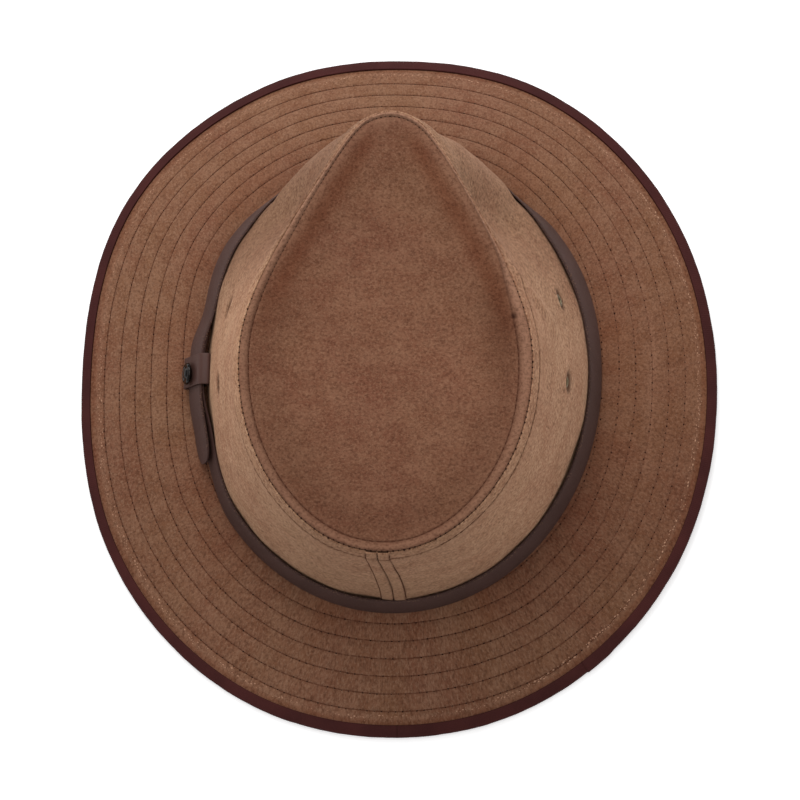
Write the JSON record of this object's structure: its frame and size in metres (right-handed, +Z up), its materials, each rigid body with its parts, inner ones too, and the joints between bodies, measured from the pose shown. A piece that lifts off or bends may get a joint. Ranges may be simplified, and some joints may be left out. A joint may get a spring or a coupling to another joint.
{
  "type": "bush hat",
  "caption": "Leather bush hat with a pinched teardrop crown, a spiral-stitched brim bound with tape, and a strap band with a keeper and stud.",
  "frame": {"origin": "on the floor, under the middle of the hat's whole extent", "axes": "+Z up, +X to the wearer's left, +Y to the wearer's back; the hat rests on its brim"},
  "size_m": [0.2922, 0.3176, 0.1415],
  "materials": {
    "suede": "brown suede with a short mottled nap",
    "wall_suede": "lighter brushed brown suede",
    "tape": "dark brown ribbed woven tape",
    "strap_leather": "smooth dark brown leather with raw cut edges",
    "stud_metal": "glossy blackened dome",
    "eyelet_metal": "dull antique brass"
  },
  "bodies": {
    "root": {"brim": "suede", "brim_binding": "tape", "crown_side": "wall_suede", "crown_tip": "suede", "hat_band": "strap_leather", "band_keeper": "strap_leather", "keeper_stud": "stud_metal", "eyelet_left_front": "eyelet_metal", "eyelet_left_back": "eyelet_metal", "eyelet_right_front": "eyelet_metal", "eyelet_right_back": "eyelet_metal"}
  },
  "joints": []
}
